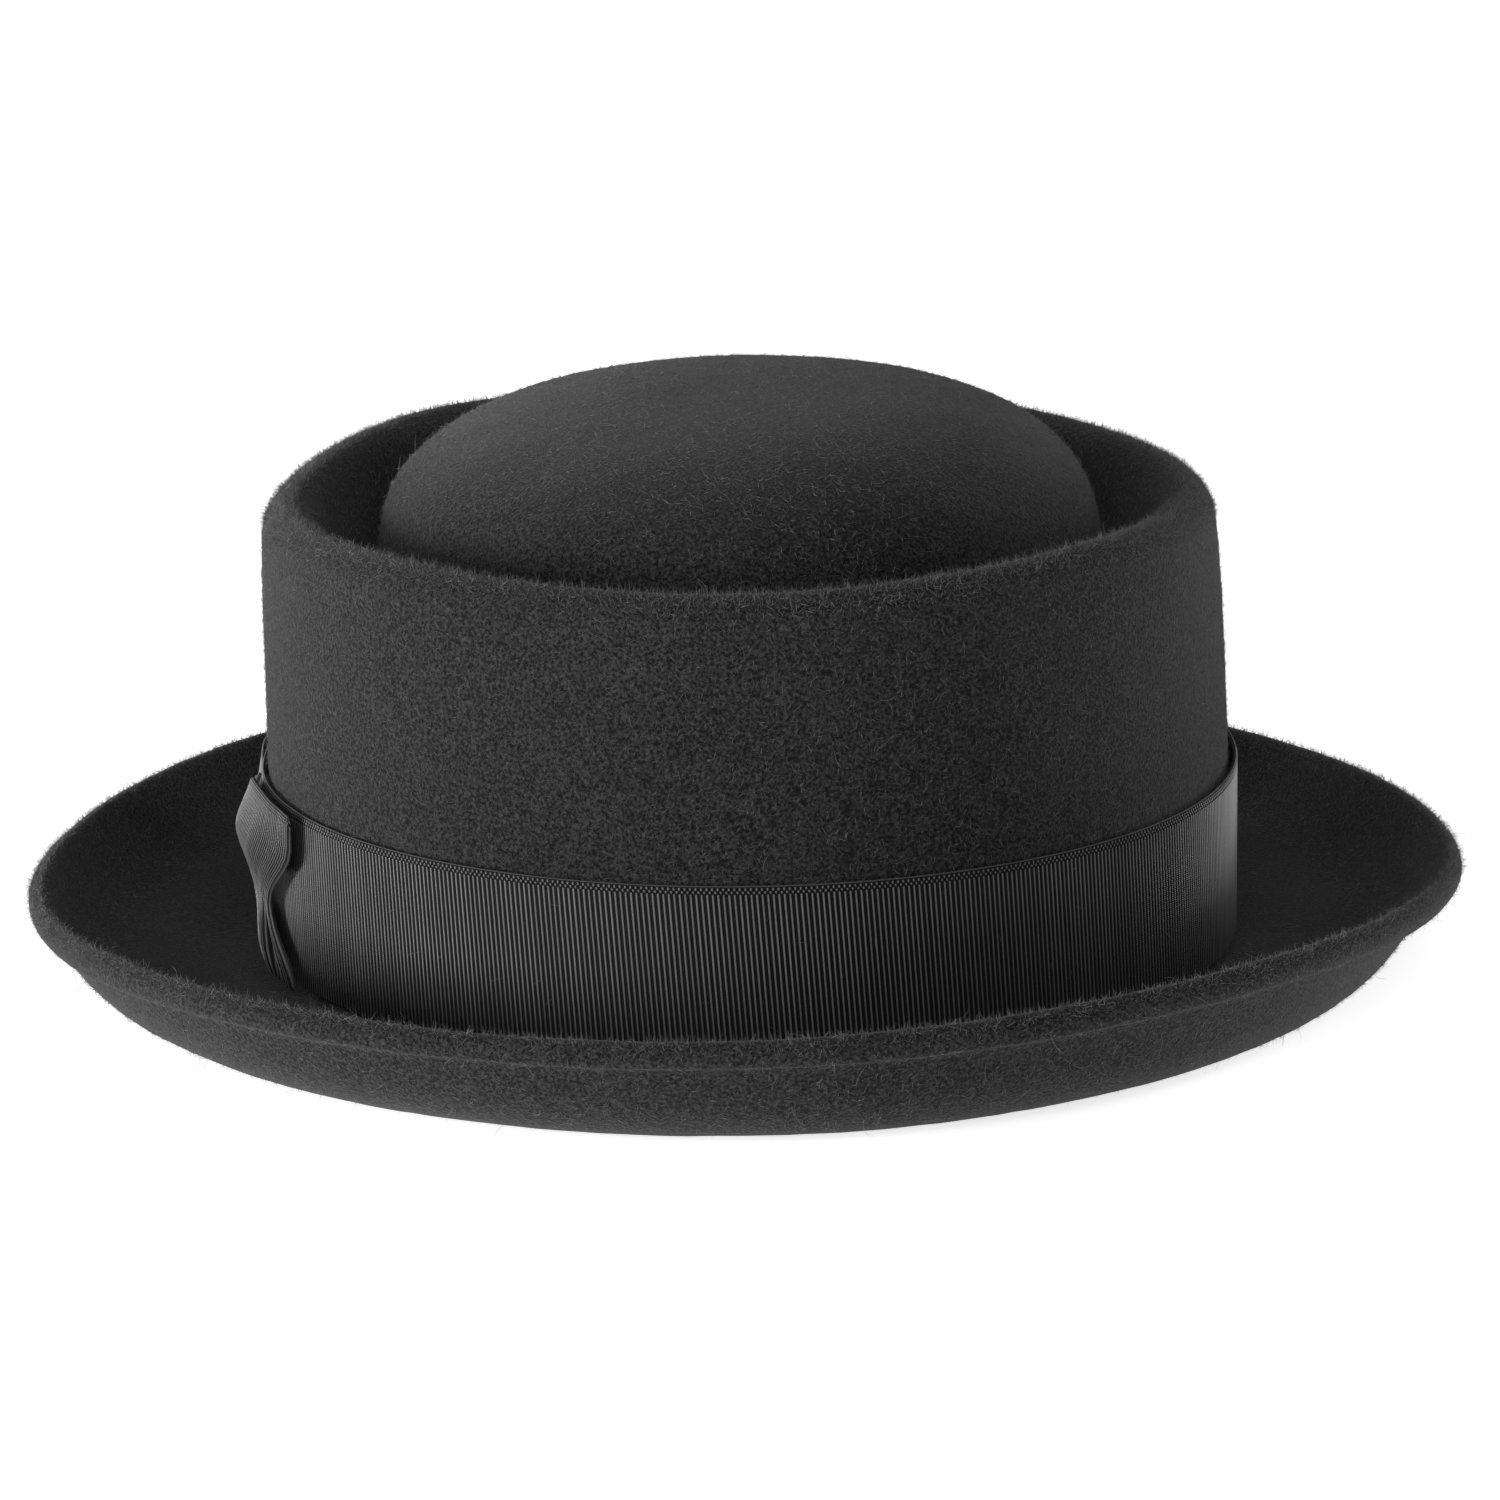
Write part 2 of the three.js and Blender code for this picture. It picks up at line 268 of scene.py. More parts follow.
fine_part = maths(
    mottling, "MULTIPLY", maths(mottling, "SUBTRACT", fine.outputs["Fac"], 0.5),
    start.outputs["Fine Amount"])
both = maths(mottling, "ADD", coarse_part, fine_part)
join(mottling, maths(mottling, "ADD", both, 1.0), end.inputs["Value"])
join(mottling, fine.outputs["Fac"], end.inputs["Fine"])
print("group:", mottling.name)

# %% [markdown]
# ## Felt
# Wool felt is a mat of short curled fibres, dyed after it is made, so it is nearly black with
# lighter flecks where single fibres catch the light. Its colour is a dark grey times the
# mottling, plus thin curled lines. A line is where a noise passes its middle value, which
# gives loops and hooks like real fibres, and a second noise breaks them into short lengths.
# Sheen on the shader gives the soft light edge that a fibrous surface has.

# %% Felt material
felt_colour = (0.0145, 0.0145, 0.015)
fleck_colour = (0.08, 0.08, 0.082)
darkest_felt = 0.2

felt, tree, shader = new_material("wool_felt", {
    "Roughness": 1.0,
    "Specular IOR Level": 0.12,
    "Sheen Weight": 0.1,
    "Sheen Roughness": 0.5,
    "Sheen Tint": (0.8, 0.8, 0.8, 1),
})
place = add(tree, "ShaderNodeTexCoord")
mottle = mottled(tree, place.outputs["Object"], {
    "Coarse Scale": 45,
    "Fine Scale": 1700,
    "Coarse Amount": 0.5,
    "Fine Amount": 7.5,
})
curls = add(tree, "ShaderNodeTexNoise", at={"Scale": 500.0, "Detail": 2.0, "Distortion": 0.6})
join(tree, place.outputs["Object"], curls.inputs["Vector"])
off_middle = maths(tree, "ABSOLUTE", maths(tree, "SUBTRACT", curls.outputs["Fac"], 0.5))
line = add(
    tree, "ShaderNodeMapRange",
    at={"From Min": 0.0, "From Max": 0.02, "To Min": 1.0, "To Max": 0.0})
join(tree, off_middle, line.inputs["Value"])
breaks = add(tree, "ShaderNodeTexNoise", at={"Scale": 700.0, "Detail": 1.0})
join(tree, place.outputs["Object"], breaks.inputs["Vector"])
kept = add(
    tree, "ShaderNodeMapRange",
    at={"From Min": 0.5, "From Max": 0.66, "To Min": 0.0, "To Max": 0.5})
join(tree, breaks.outputs["Fac"], kept.inputs["Value"])
fleck = maths(tree, "MULTIPLY", line.outputs["Result"], kept.outputs["Result"])
shade = scaled_colour(
    tree, felt_colour, maths(tree, "MAXIMUM", mottle.outputs["Value"], darkest_felt))
flecked = add(tree, "ShaderNodeMix", data_type="RGBA")
flecked.inputs["B"].default_value = (*fleck_colour, 1)
join(tree, fleck, flecked.inputs["Factor"])
join(tree, shade, flecked.inputs["A"])
join(tree, flecked.outputs["Result"], shader.inputs["Base Color"])
bump = add(tree, "ShaderNodeBump", at={"Strength": 0.8, "Distance": 0.3 * MM})
join(tree, mottle.outputs["Fine"], bump.inputs["Height"])
join(tree, bump.outputs["Normal"], shader.inputs["Normal"])
print("material:", felt.name)

# %% [markdown]
# ## The felt body
# The felt is one blocked piece: dome, moat, rim, wall, brim and folded edge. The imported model
# holds that form with flat facets, so a copy of its mesh is the cage for a smooth skin. The
# copy's loose triangles are merged and paired into four-sided faces, which Subdivision Surface
# then rounds. Two Displace modifiers add the slight waves and unevenness of blocked felt.

# %% Felt body
def copy_of_node(node, name):
    copy = bpy.data.objects.new(name, nodes[node].data.copy())
    bpy.context.scene.collection.objects.link(copy)
    edit(
        copy,
        lambda: bpy.ops.mesh.remove_doubles(threshold=0.01 * MM),
        lambda: bpy.ops.mesh.tris_convert_to_quads(face_threshold=math.pi, shape_threshold=math.pi),
    )
    return copy


def add_waves(obj, name, wave_length, height):
    texture = bpy.data.textures.new(name, "CLOUDS")
    texture.noise_scale = wave_length
    waves = obj.modifiers.new(name, "DISPLACE")
    waves.texture = texture
    waves.texture_coords = "LOCAL"
    waves.strength = height
    waves.mid_level = 0.5


felt_hat = copy_of_node("felt_body", "felt_hat")
sides = [len(face.vertices) for face in felt_hat.data.polygons]
print("cage:", sides.count(4), "quads and", sides.count(3), "triangles")

smooth = felt_hat.modifiers.new("smooth", "SUBSURF")
smooth.levels = 2
smooth.render_levels = 2
add_waves(felt_hat, "blocking_waves", 45 * MM, 0.9 * MM)
add_waves(felt_hat, "felt_lumps", 3 * MM, 0.16 * MM)
apply_all(felt_hat)
bpy.ops.object.shade_smooth()
print("skin:", len(felt_hat.data.polygons), "faces")

# %% [markdown]
# ## Sizes of the band
# The band is an oval, made of two half ellipses that meet at its widest. Its sizes come from
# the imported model. They say where the crown ends and the brim begins, and later steps build
# the ribbons on them.

# %% Measure the band
band_low, band_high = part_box("hat_band")
band_points = [vertex.co for vertex in nodes["hat_band"].data.vertices]
widest = max(band_points, key=lambda point: point.x)
oval_middle = Vector(((band_low.x + band_high.x) / 2, widest.y, 0))
oval_half_width = (band_high.x - band_low.x) / 2
oval_back = oval_middle.y - band_low.y
oval_front = band_high.y - oval_middle.y
band_width = band_high.z - band_low.z
print("band:", round(oval_half_width / MM, 1), round(oval_back / MM, 1), round(oval_front / MM, 1))

# %% [markdown]
# ## Where the nap grows
# Fibres stand on the outside of the hat: crown, dome, moat and brim. The inside and the ring
# that rests on the table stay plain. To find the outside, each corner of the felt sends out two
# rays, one straight up and one outwards and up. A corner that one of them leaves without
# hitting the hat is open to the air. Close to the table the nap is worn away. The felt is
# fuzziest on its two ridges, the crown's rim and the edge of the brim, where hands and folding
# rough it up. A ridge is told by its height, by how far out it is compared with the band, and
# by felt that faces up and not inwards. Both answers are stored on the mesh as attributes.

# %% Open felt
open_rise = 0.6
ray_start = 0.4 * MM
worn_height = 2.5 * MM
rim_ridge = {"above": 80 * MM, "beyond": 0.8}
brim_ridge = {"above": 10 * MM, "beyond": 1.15}
least_up = 0.3
most_inwards = 0.3


def on_ridge(place, normal):
    """True on the top of the crown's rim and on the upper edge of the brim."""
    from_middle = place - oval_middle
    depth = oval_back if from_middle.y < 0 else oval_front
    share = math.hypot(from_middle.x / oval_half_width, from_middle.y / depth)
    inwards = -normal.dot(Vector((from_middle.x, from_middle.y, 0)).normalized())
    if normal.z <= least_up or inwards >= most_inwards:
        return False
    return any(
        place.z > ridge["above"] and share > ridge["beyond"] for ridge in (rim_ridge, brim_ridge))


def mark_open_felt(obj):
    surface = BVHTree.FromPolygons(
        [vertex.co for vertex in obj.data.vertices],
        [face.vertices for face in obj.data.polygons])
    open_air = obj.data.attributes.new("open_air", "FLOAT", "POINT")
    ridge = obj.data.attributes.new("ridge", "FLOAT", "POINT")
    for vertex in obj.data.vertices:
        start = vertex.co + vertex.normal * ray_start
        outwards = Vector((vertex.co.x, vertex.co.y, 0)).normalized() + Vector((0, 0, open_rise))
        free = any(
            surface.ray_cast(start, way)[0] is None for way in (outwards, Vector((0, 0, 1))))
        open_air.data[vertex.index].value = float(free and vertex.co.z > worn_height)
        ridge.data[vertex.index].value = float(on_ridge(vertex.co, vertex.normal))
    print("open to the air:", sum(item.value for item in open_air.data), "corners")
    print("on a ridge:", sum(item.value for item in ridge.data), "corners")


mark_open_felt(felt_hat)

# %% [markdown]
# ## Fibres
# One short fibre is modelled as a needle with three sides, a cone whose foot is closed. Geometry
# Nodes scatters points over the felt, puts a needle on each, leans it over at random and
# realizes the instances. A fibre costs four triangles, so the many thousands stay light. Each
# short fibre gets a cell of its own in a UV map, for a bake. A few longer hairs stand loose
# among them, and each is an arc in several steps. The seed is fixed for each layer, so the nap
# is the same in every run.

# %% Fibre material
# The fibres are much lighter than the felt. That is painted highlight, for single fibres that catch
# the light.
fibre_colour = (0.09, 0.09, 0.092)
darkest_fibre = 0.25

fibre_paint, tree, shader = new_material(
    "wool_fibre", {"Roughness": 0.7, "Specular IOR Level": 0.3})
place = add(tree, "ShaderNodeTexCoord")
mottle = mottled(tree, place.outputs["Object"], {
    "Coarse Scale": 120,
    "Fine Scale": 900,
    "Coarse Amount": 1.2,
    "Fine Amount": 3.5,
})
shade = scaled_colour(
    tree, fibre_colour, maths(tree, "MAXIMUM", mottle.outputs["Value"], darkest_fibre))
join(tree, shade, shader.inputs["Base Color"])
print("material:", fibre_paint.name)

# %% One fibre
tip_lean = 0.9


def needle(name, length, width):
    bpy.ops.object.select_all(action="DESELECT")
    bpy.ops.mesh.primitive_cone_add(
        vertices=3, radius1=width / 2, radius2=0, depth=length, end_fill_type="NGON",
        location=(0, 0, length / 2))
    fibre = bpy.context.active_object
    fibre.name = name
    bpy.ops.object.transform_apply(location=True, rotation=True, scale=True)
    return fibre


def curved_hair(name, length, width, steps):
    """A needle in several steps, bent into an arc by moving each step sideways."""
    bpy.ops.object.select_all(action="DESELECT")
    bpy.ops.mesh.primitive_circle_add(vertices=3, radius=width / 2, fill_type="NGON")
    hair = bpy.context.active_object
    hair.name = name
    bpy.ops.object.mode_set(mode="EDIT")
    bpy.ops.mesh.select_all(action="SELECT")
    bpy.ops.mesh.flip_normals()
    for step in range(1, steps + 1):
        sideways = length * tip_lean / steps * step / steps
        rise = math.sqrt((length / steps) ** 2 - sideways ** 2)
        bpy.ops.mesh.extrude_region_move(TRANSFORM_OT_translate={"value": (sideways, 0, rise)})
    bpy.ops.mesh.merge(type="CENTER")
    bpy.ops.mesh.select_all(action="SELECT")
    bpy.ops.mesh.normals_make_consistent(inside=False)
    bpy.ops.object.mode_set(mode="OBJECT")
    return hair


# %% Scattering
def scatter_nodes(name, fibre, where, per_square_mm, lean, sizes, seed):
    """Geometry Nodes that put fibres where an attribute is 1, and return only the fibres."""
    group = bpy.data.node_groups.new(name, "GeometryNodeTree")
    group.interface.new_socket("Geometry", in_out="INPUT", socket_type="NodeSocketGeometry")
    group.interface.new_socket("Geometry", in_out="OUTPUT", socket_type="NodeSocketGeometry")
    start = group.nodes.new("NodeGroupInput")
    end = group.nodes.new("NodeGroupOutput")
    covered = add(
        group, "GeometryNodeInputNamedAttribute", data_type="FLOAT", at={"Name": where})
    density = maths(group, "MULTIPLY", covered.outputs["Attribute"], per_square_mm / MM ** 2)
    points = add(group, "GeometryNodeDistributePointsOnFaces", at={"Seed": seed})
    turn = add(group, "FunctionNodeRandomValue", data_type="FLOAT_VECTOR", at={
        "Min": (math.radians(lean[0]), 0, 0),
        "Max": (math.radians(lean[1]), 0, 2 * math.pi),
        "Seed": seed + 1,
    })
    as_rotation = add(group, "FunctionNodeEulerToRotation")
    stand = add(group, "FunctionNodeRotateRotation", rotation_space="LOCAL")
    size = add(
        group, "FunctionNodeRandomValue", data_type="FLOAT",
        at={2: sizes[0], 3: sizes[1], "Seed": seed + 2})
    shape = add(group, "GeometryNodeObjectInfo", at={"Object": fibre})
    place = add(group, "GeometryNodeInstanceOnPoints")
    solid = add(group, "GeometryNodeRealizeInstances")
    join(group, start.outputs[0], points.inputs["Mesh"])
    join(group, density, points.inputs["Density"])
    join(group, turn.outputs["Value"], as_rotation.inputs["Euler"])
    join(group, points.outputs["Rotation"], stand.inputs["Rotation"])
    join(group, as_rotation.outputs["Rotation"], stand.inputs["Rotate By"])
    join(group, points.outputs["Points"], place.inputs["Points"])
    join(group, shape.outputs["Geometry"], place.inputs["Instance"])
    join(group, stand.outputs["Rotation"], place.inputs["Rotation"])
    join(group, size.outputs[1], place.inputs["Scale"])
    join(group, place.outputs["Instances"], solid.inputs["Geometry"])
    join(group, solid.outputs["Geometry"], end.inputs[0])
    return group


def cell_map(obj, faces_per_fibre):
    """A UV map in which each fibre has a square cell, cut into one triangle for each face."""
    fibres = len(obj.data.polygons) // faces_per_fibre
    cells = math.ceil(math.sqrt(fibres))
    uv_map = obj.data.uv_layers.new(name="OFBake")
    corners = [(0, 0), (1, 0), (1, 1), (0, 1)]
    places = []
    for face in obj.data.polygons:
        fibre, side = divmod(face.index, faces_per_fibre)
        column, row = fibre % cells, fibre // cells
        first = corners[side % 4]
        second = corners[(side + 1) % 4]
        for u, v in (first, second, (0.5, 0.5)):
            places += [(column + u) / cells, (row + v) / cells]
    uv_map.data.foreach_set("uv", places)


def nap(name, fibre, where, per_square_mm, lean, sizes, seed):
    layer = bpy.data.objects.new(name, felt_hat.data.copy())
    bpy.context.scene.collection.objects.link(layer)
    scatter = layer.modifiers.new("scatter", "NODES")
    scatter.node_group = scatter_nodes(name, fibre, where, per_square_mm, lean, sizes, seed)
    apply_all(layer)
    return layer


# %% [markdown]
# The nap is grown in three thin layers, because one mesh with all of its fibres would be too
# heavy. Most of the fibres lie nearly flat, as brushing leaves them. The fuzz on the ridges is
# about ten times as dense and stands more upright.

# %% Nap and fuzz
needle_faces = 4
short_layers = [
    {"name": f"felt_nap_{number + 1}", "where": "open_air", "per_square_mm": 0.28,
     "lean": (50, 88), "sizes": (0.4, 1.3), "seed": 10 + number}
    for number in range(3)
]
short_layers.append(
    {"name": "ridge_fuzz", "where": "ridge", "per_square_mm": 3.0,
     "lean": (5, 75), "sizes": (0.5, 1.4), "seed": 21})

fibre = needle("fibre", length=1.4 * MM, width=0.08 * MM)
for settings in short_layers:
    layer = nap(fibre=fibre, **settings)
    cell_map(layer, needle_faces)
    finish_piece(layer, fibre_paint, "felt")

# %% Loose hairs
hair = curved_hair("hair", length=4 * MM, width=0.06 * MM, steps=6)
strays = nap(
    "stray_hairs", hair, "open_air", per_square_mm=0.012, lean=(20, 80), sizes=(0.4, 1.2), seed=31)
finish_piece(strays, fibre_paint, "felt")

# %% Finish the felt
for done in (fibre, hair):
    bpy.data.objects.remove(done)
for attribute in ("open_air", "ridge"):
    felt_hat.data.attributes.remove(felt_hat.data.attributes[attribute])
finish_piece(felt_hat, felt, "felt", "felt_body")

# %% [markdown]
# ## Ribbon
# Grosgrain is woven with a thick weft, which makes ribs straight across it. The ribs are real
# relief here, so they catch the light in any view. The material adds the threads that cross
# them, and a slightly different shade from rib to rib. It reads a UV map whose u runs along
# the ribbon and v across it, both in ribs, so the threads follow every fold. The grooves
# between the ribs are darker and duller than the crests, because no light gets out of them.

# %% Ribbon material
ribbon_colour = (0.1, 0.1, 0.102)
# The bow's thread colour is darker than the band's as painted shade, because the left lamp falls
# squarely on the bow.
bow_shaded_colour = (0.074, 0.074, 0.075)
groove_colour = (0.001, 0.001, 0.001)
groove_roughness = 1.0
crest_roughness = 0.4
threads_per_rib = 2.6
rib_shade_amount = 0.35

ribbon, tree, shader = new_material("grosgrain", {
    "Specular IOR Level": 0.4,
    "Sheen Weight": 0.05,
    "Sheen Roughness": 0.3,
    "Sheen Tint": (0.8, 0.8, 0.8, 1),
})
place = add(tree, "ShaderNodeUVMap", uv_map="threads")
parts = add(tree, "ShaderNodeSeparateXYZ")
join(tree, place.outputs["UV"], parts.inputs["Vector"])
across_ribs = maths(tree, "MULTIPLY", parts.outputs["Y"], threads_per_rib * 2 * math.pi)
thread_wave = maths(tree, "SINE", across_ribs)
which_rib = maths(tree, "FLOOR", parts.outputs["X"])
rib_shade = add(tree, "ShaderNodeTexWhiteNoise", noise_dimensions="1D")
join(tree, which_rib, rib_shade.inputs["W"])
mottle = mottled(tree, place.outputs["UV"], {
    "Coarse Scale": 0.05,
    "Fine Scale": 3.0,
    "Coarse Amount": 0.3,
    "Fine Amount": 0.8,
})
off_shade = maths(tree, "SUBTRACT", rib_shade.outputs["Value"], 0.5)
rib_part = maths(tree, "MULTIPLY", off_shade, rib_shade_amount)
shade = scaled_colour(
    tree, ribbon_colour, maths(tree, "ADD", mottle.outputs["Value"], rib_part))

# %% Ribs in the ribbon material
crest = add(tree, "ShaderNodeAttribute", attribute_name="crest")
on_crest = add(
    tree, "ShaderNodeMapRange", interpolation_type="SMOOTHSTEP",
    at={"From Min": 0.52, "From Max": 0.88})
join(tree, crest.outputs["Fac"], on_crest.inputs["Value"])
ribbed = add(tree, "ShaderNodeMix", data_type="RGBA")
ribbed.inputs["A"].default_value = (*groove_colour, 1)
join(tree, on_crest.outputs["Result"], ribbed.inputs["Factor"])
join(tree, shade, ribbed.inputs["B"])
join(tree, ribbed.outputs["Result"], shader.inputs["Base Color"])
gloss = add(
    tree, "ShaderNodeMapRange",
    at={"From Min": 0.0, "From Max": 1.0, "To Min": groove_roughness, "To Max": crest_roughness})
join(tree, on_crest.outputs["Result"], gloss.inputs["Value"])
join(tree, gloss.outputs["Result"], shader.inputs["Roughness"])
bump = add(tree, "ShaderNodeBump", at={"Strength": 0.35, "Distance": 0.08 * MM})
join(tree, thread_wave, bump.inputs["Height"])
join(tree, bump.outputs["Normal"], shader.inputs["Normal"])
print("material:", ribbon.name)

# %% [markdown]
# The bow is the same ribbon, but it was pressed flat and handled while it was tied. Its ribs
# are polished, so it gets a copy of the material with more sheen. Its thread is a little
# darker than the band's. That is painted shade, because the bow catches the left lamp squarely.

# %% Bow material
pressed_sheen = 0.25

shaded_bow_ribbon = ribbon.copy()
shaded_bow_ribbon.name = "pressed_grosgrain"
shader = shaded_bow_ribbon.node_tree.nodes["Principled BSDF"]
shader.inputs["Sheen Weight"].default_value = pressed_sheen
# Painted shade: the bow's copy gets the darker thread colour.
for node in shaded_bow_ribbon.node_tree.nodes:
    if node.type == "VECT_MATH":
        node.inputs[0].default_value = bow_shaded_colour
print("material:", shaded_bow_ribbon.name)

# %% [markdown]
# ## A ribbed strip
# Band, loops and knot are all the same ribbon, and they are built fresh, because the ribs are
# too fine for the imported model. Each starts as a flat grid with four columns to a rib. A
# function then says where each point of the flat ribbon goes, and its third number is the
# height above the ribbon's middle, which carries the ribs. Along its upper edge the ribbon has
# a thin bead and two rows of short stitches, each half a rib out of step, before the ribs
# begin. That is the selvedge, which holds the threads together.

# %% Ribbed strip
rib_pitch = 0.94 * MM
rib_height = 0.38 * MM
columns_per_rib = 4
rib_slant = -math.tan(math.radians(4.2))

# For each row across the ribbon near an edge: its distance from the edge and the lift of its
# face, both in millimetres, how much of a rib shows there, how many ribs its pattern is shifted
# along, where a half is out of step, and how light it is where there is no rib, which sets how
# much painted groove shade the row gets
top_selvedge = [
    {"from_edge": 0.0, "lift": -0.2, "ribs": 0.0, "shift": 0.0, "plain": 0.6},
    {"from_edge": 0.14, "lift": 0.05, "ribs": 0.0, "shift": 0.0, "plain": 0.7},
    {"from_edge": 0.3, "lift": -0.15, "ribs": 0.0, "shift": 0.0, "plain": 0.2},
    {"from_edge": 0.42, "lift": 0.0, "ribs": 1.0, "shift": 0.0, "plain": 0.0},
    {"from_edge": 0.8, "lift": 0.0, "ribs": 1.0, "shift": 0.0, "plain": 0.0},
    {"from_edge": 0.9, "lift": -0.1, "ribs": 0.2, "shift": 0.25, "plain": 0.2},
    {"from_edge": 1.0, "lift": 0.0, "ribs": 1.0, "shift": 0.5, "plain": 0.0},
    {"from_edge": 1.36, "lift": 0.0, "ribs": 1.0, "shift": 0.5, "plain": 0.0},
    {"from_edge": 1.46, "lift": -0.1, "ribs": 0.2, "shift": 0.75, "plain": 0.2},
    {"from_edge": 1.56, "lift": 0.0, "ribs": 1.0, "shift": 1.0, "plain": 0.0},
]
low_selvedge = [
    {"from_edge": 0.0, "lift": -0.25, "ribs": 0.0, "shift": 1.0, "plain": 0.0},
    {"from_edge": 0.3, "lift": 0.0, "ribs": 1.0, "shift": 1.0, "plain": 0.0},
]
middle_row = {"lift": 0.0, "ribs": 1.0, "shift": 1.0, "plain": 0.0}


def ribbon_rows(width, inner_rows):
    """Rows across a ribbon, from its lower edge up, each with its place in metres."""
    low = [{**row, "place": row["from_edge"] * MM} for row in low_selvedge]
    high = [{**row, "place": width - row["from_edge"] * MM} for row in reversed(top_selvedge)]
    start = low[-1]["place"]
    span = high[0]["place"] - start
    steps = range(1, inner_rows)
    middle = [{**middle_row, "place": start + span * step / inner_rows} for step in steps]
    return low + middle + high


def ribbed_strip(
        name, length, width, inner_rows, thickness, place_at, back=-1, closed=False, slant=0.0):
    """place_at(along, across, height) gives the place of a point of the flat ribbon.

    back is -1 where the grid's faces point to the ribbon's right side, and 1 where they point
    to its back, as they do after a turn that mirrors the grid.
    """
    ribs = round(length / rib_pitch)
    columns = ribs * columns_per_rib
    rows = ribbon_rows(width, inner_rows)
    bpy.ops.object.select_all(action="DESELECT")
    bpy.ops.mesh.primitive_grid_add(x_subdivisions=columns, y_subdivisions=len(rows) - 1, size=1)
    strip = bpy.context.active_object
    strip.name = name
    threads = strip.data.uv_layers.new(name="threads")
    flat = {}
    for vertex in strip.data.vertices:
        column = round((vertex.co.x + 0.5) * columns)
        row = round((vertex.co.y + 0.5) * (len(rows) - 1))
        flat[vertex.index] = (column, row)
    for loop in strip.data.loops:
        column, row = flat[loop.vertex_index]
        threads.data[loop.index].uv = (column / columns_per_rib, rows[row]["place"] / rib_pitch)
    crest = strip.data.attributes.new("crest", "FLOAT", "POINT")
    for vertex in strip.data.vertices:
        column, row = flat[vertex.index]
        across, lift = rows[row]["place"], rows[row]["lift"] * MM
        share, plain = rows[row]["ribs"], rows[row]["plain"]
        wave = -math.cos(2 * math.pi * (column / columns_per_rib - rows[row]["shift"]))
        height = lift + rib_height / 2 * share * wave
        # The crest value sets how much painted shade the material puts in grooves and selvedge
        # dips.
        crest.data[vertex.index].value = share * (0.5 + 0.5 * wave) + (1 - share) * plain
        along = length * column / columns + slant * across
        vertex.co = place_at(along, across, height)
    if closed:
        edit(strip, lambda: bpy.ops.mesh.remove_doubles(threshold=0.02 * MM))
    wall = strip.modifiers.new("thickness", "SOLIDIFY")
    wall.thickness = thickness
    wall.offset = back
    apply_all(strip)
    bpy.ops.object.shade_smooth()
    return strip


# %% [markdown]
# ## The band
# The band follows the oval at the foot of the crown. Equal steps of the ribbon are equal steps
# along the oval, so its length is measured in small pieces first. Then each point of the
# ribbon finds its turn round the hat. The ribs lean by four degrees, as the ribbon was
# stretched on a little askew.

# %% Oval measures
oval_steps = 2880


def oval_at(turn, out, z):
    depth = oval_back if math.sin(turn) < 0 else oval_front
    x = (oval_half_width + out) * math.cos(turn)
    y = (depth + out) * math.sin(turn)
    return Vector((oval_middle.x + x, oval_middle.y + y, z))


turns = [2 * math.pi * n / oval_steps for n in range(oval_steps + 1)]
oval_line = [oval_at(turn, 0, 0) for turn in turns]
lengths = [0.0]
for here, there in zip(oval_line, oval_line[1:]):
    lengths.append(lengths[-1] + (there - here).length)
oval_length = lengths[-1]
print("band length:", round(oval_length / MM), "mm")


def turn_after(along):
    """The turn round the oval that lies this far along it from the wearer's right."""
    along %= oval_length
    low, high = 0, oval_steps
    while high - low > 1:
        middle = (low + high) // 2
        if lengths[middle] <= along:
            low = middle
        else:
            high = middle
    share = (along - lengths[low]) / (lengths[high] - lengths[low])
    return turns[low] + share * (turns[high] - turns[low])


# %% Band
band_thickness = 0.5 * MM
band_rows = 1

band = ribbed_strip(
    "grosgrain_band", oval_length, band_width, band_rows, band_thickness,
    lambda along, across, height: oval_at(
        turn_after(along), height - rib_height / 2, band_low.z + across),
    closed=True, slant=rib_slant)
finish_piece(band, ribbon, "ribbon", "hat_band")

# %% [markdown]
# ## The bow
# The bow is flat: two loops of the same ribbon, gathered in the middle by a short ribbon. Each
# loop lies on the band, turns back at its end and returns over itself. The gathering makes it
# narrow at the knot and full at its end. It draws the middle of the end in, and it pushes the
# loop's face up into a large upper lobe and a small lower one, with a crease beside the lower
# part of the end. The loop to the front is pulled tighter. The height of the knot comes from
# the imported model.

# %% Sizes of the bow
knot_low, knot_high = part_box("bow_knot")
loop_thickness = 0.4 * MM
clearance = 0.12 * MM
bow_length = 91 * MM
bow_rise = 0.2 * MM
knot_width = 12 * MM
knot_height = 16 * MM
knot_lift = (knot_low.z + knot_high.z) / 2 - band_low.z
loop_rows = 14
knot_rows = 5
back_loop_fullness = 1.0
front_loop_fullness = 0.4

# The notch in a loop's end is deepest at a share of the ribbon's width. The layer next to the
# band is narrower than the face by an inset at each edge. The upper edge opens to its full
# height soon after the knot, and a greater speed opens it sooner.
loop_end_notch = 12 * MM
end_notch = {"middle": 0.4, "half_width": 0.42}
under_inset = 1 * MM
upper_edge_speed = 10

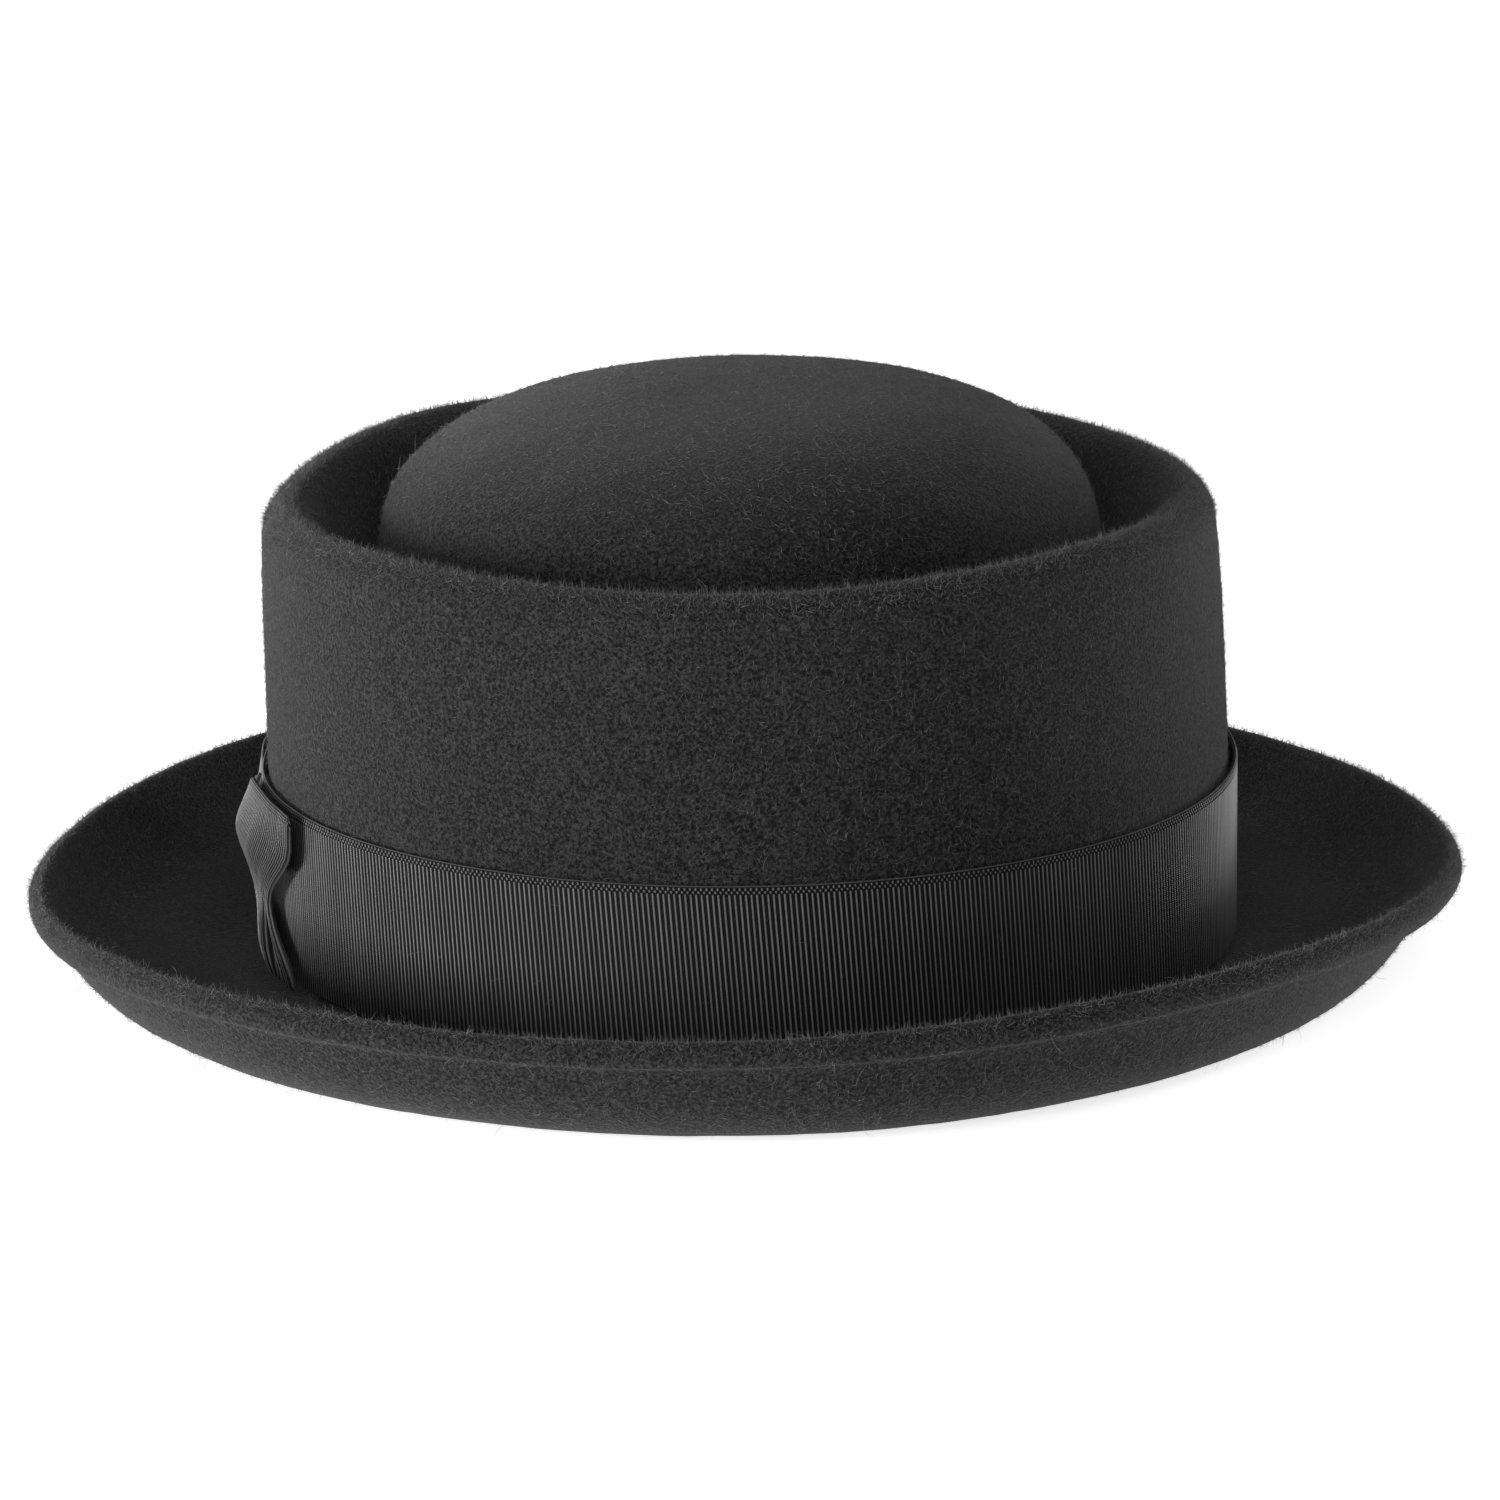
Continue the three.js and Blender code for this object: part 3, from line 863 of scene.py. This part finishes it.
# Stations along a loop, from the knot to its end: how far the face stands off the band, and
# how much more its upper and its lower lobe stand out there, all in millimetres
loop_stations = [
    {"share": 0.0, "face": 1.2, "upper": 0.0, "lower": 0.0},
    {"share": 0.2, "face": 1.8, "upper": 3.2, "lower": 0.0},
    {"share": 0.5, "face": 1.7, "upper": 2.6, "lower": 0.8},
    {"share": 0.82, "face": 2.2, "upper": 1.2, "lower": 2.8},
    {"share": 1.0, "face": 2.8, "upper": 0.3, "lower": 0.4},
]
upper_lobe = {"middle": 0.6, "half_width": 0.48}
lower_lobe = {"middle": 0.1, "half_width": 0.3}
crease_along = {"middle": 0.9, "half_width": 0.05}
crease_across = {"middle": 0.22, "half_width": 0.3}
crease_depth = 1.3
print("knot middle above the band's edge:", round(knot_lift / MM, 1), "mm")


def on_bow(along, out, up):
    """along runs towards the hat's back from the middle of the bow, on the wearer's left."""
    depth = oval_back if along > 0 else oval_front
    return oval_at(math.pi + along / depth, out, band_low.z + up)


def at_station(share, column):
    """A column of the stations, with a smooth run from one station to the next."""
    for near, far in zip(loop_stations, loop_stations[1:]):
        if share <= far["share"]:
            break
    part = min(1.0, (share - near["share"]) / (far["share"] - near["share"]))
    eased = part * part * (3 - 2 * part)
    return near[column] + (far[column] - near[column]) * eased


def lobe(value, shape):
    """1 at the shape's middle, and smoothly 0 beyond its half width."""
    off = min(1.0, abs(value - shape["middle"]) / shape["half_width"])
    return 0.5 + 0.5 * math.cos(math.pi * off)


# %% Loops
def bow_loop(name, side, node, fullness):
    layer_gap = loop_thickness + clearance
    fold_radius = layer_gap / 2
    low_at_knot = knot_lift - knot_height / 2
    high_at_knot = knot_lift + knot_height / 2
    knot_edge = knot_width / 2
    face_length = bow_length / 2 - fold_radius - knot_edge
    fold_length = math.pi * fold_radius
    hidden = knot_edge - clearance
    length = 2 * hidden + 2 * face_length + fold_length

    def middle_place(along, across):
        """The middle of the ribbon, as (along the band, out, up)."""
        back = along > length / 2
        from_root = length - along if back else along
        reached = from_root - hidden
        share = min(1.0, max(0.0, reached / face_length))
        past = max(0.0, reached - face_length) / fold_length
        turned = 1 - past if back else past
        v = across / band_width
        shown = (1 - math.cos(math.pi * turned)) / 2
        low = low_at_knot - (low_at_knot - bow_rise) * share + under_inset * (1 - shown)
        opened_high = 1 - (1 - share) ** upper_edge_speed
        high = high_at_knot + (band_width + bow_rise - high_at_knot) * opened_high
        high -= under_inset * (1 - shown)
        notch = loop_end_notch * lobe(v, end_notch)
        end = face_length + knot_edge - notch
        at = knot_edge + (end - knot_edge) * share if reached > 0 else knot_edge + reached
        at += fold_radius * math.sin(math.pi * turned)
        under = at_station(share, "face") * MM * (0.5 + 0.5 * fullness) - layer_gap
        lobes = at_station(share, "upper") * lobe(v, upper_lobe)
        lobes += at_station(share, "lower") * lobe(v, lower_lobe)
        lobes -= crease_depth * lobe(share, crease_along) * lobe(v, crease_across)
        out = under + (layer_gap + max(0.0, lobes) * MM * fullness) * shown
        return Vector((side * at, out, low + (high - low) * v))

    def place_at(along, across, height):
        step = 0.05 * MM
        here = middle_place(along, across)
        onward = middle_place(min(along + step, length), across) - middle_place(
            max(along - step, 0), across)
        over = middle_place(along, min(across + step, band_width)) - middle_place(
            along, max(across - step, 0))
        outward = onward.cross(over).normalized() * side
        return on_bow(*(here + outward * (height - rib_height / 2 + loop_thickness / 2)))

    loop = ribbed_strip(
        name, length, band_width, loop_rows, loop_thickness, place_at, back=side)
    edit(loop, lambda: bpy.ops.mesh.normals_make_consistent(inside=False))
    finish_piece(loop, shaded_bow_ribbon, "ribbon", node)


bow_loop("bow_loop_to_back", 1, "bow_loop_back", back_loop_fullness)
bow_loop("bow_loop_to_front", -1, "bow_loop_front", front_loop_fullness)

# %% [markdown]
# ## The knot
# The knot is one turn of ribbon over the middle of the bow. It is narrower than the ribbon,
# because it is folded to width, and its ribs run across it, so they lie level.

# %% Knot
def bow_knot():
    corner = 1.2 * MM
    swell = 0.5 * MM
    reach = 3 * loop_thickness + 4 * clearance + rib_height
    height = knot_height + 2 * (clearance + loop_thickness / 2)
    leg = reach - corner
    bend = corner * math.pi / 2
    face = height - 2 * corner
    length = 2 * leg + 2 * bend + face
    low = knot_lift - height / 2

    def place_at(along, across, lift):
        half = min(along, length - along)
        if half < leg:
            out, up, facing = half, 0.0, Vector((0, -1))
        elif half < leg + bend:
            angle = (half - leg) / corner
            out = leg + corner * math.sin(angle)
            up = corner * (1 - math.cos(angle))
            facing = Vector((math.sin(angle), -math.cos(angle)))
        else:
            up = corner + (half - leg - bend)
            out = reach + swell * math.sin(math.pi * (up - corner) / face)
            facing = Vector((1, 0))
        raised = lift - rib_height / 2
        out += facing.x * raised
        up += facing.y * raised
        if along > length / 2:
            up = height - up
        return on_bow(across - knot_width / 2, out, low + up)

    knot = ribbed_strip(
        "bow_knot_wrap", length, knot_width, knot_rows, loop_thickness, place_at, back=1)
    edit(knot, lambda: bpy.ops.mesh.normals_make_consistent(inside=False))
    finish_piece(knot, shaded_bow_ribbon, "ribbon", "bow_knot")


bow_knot()
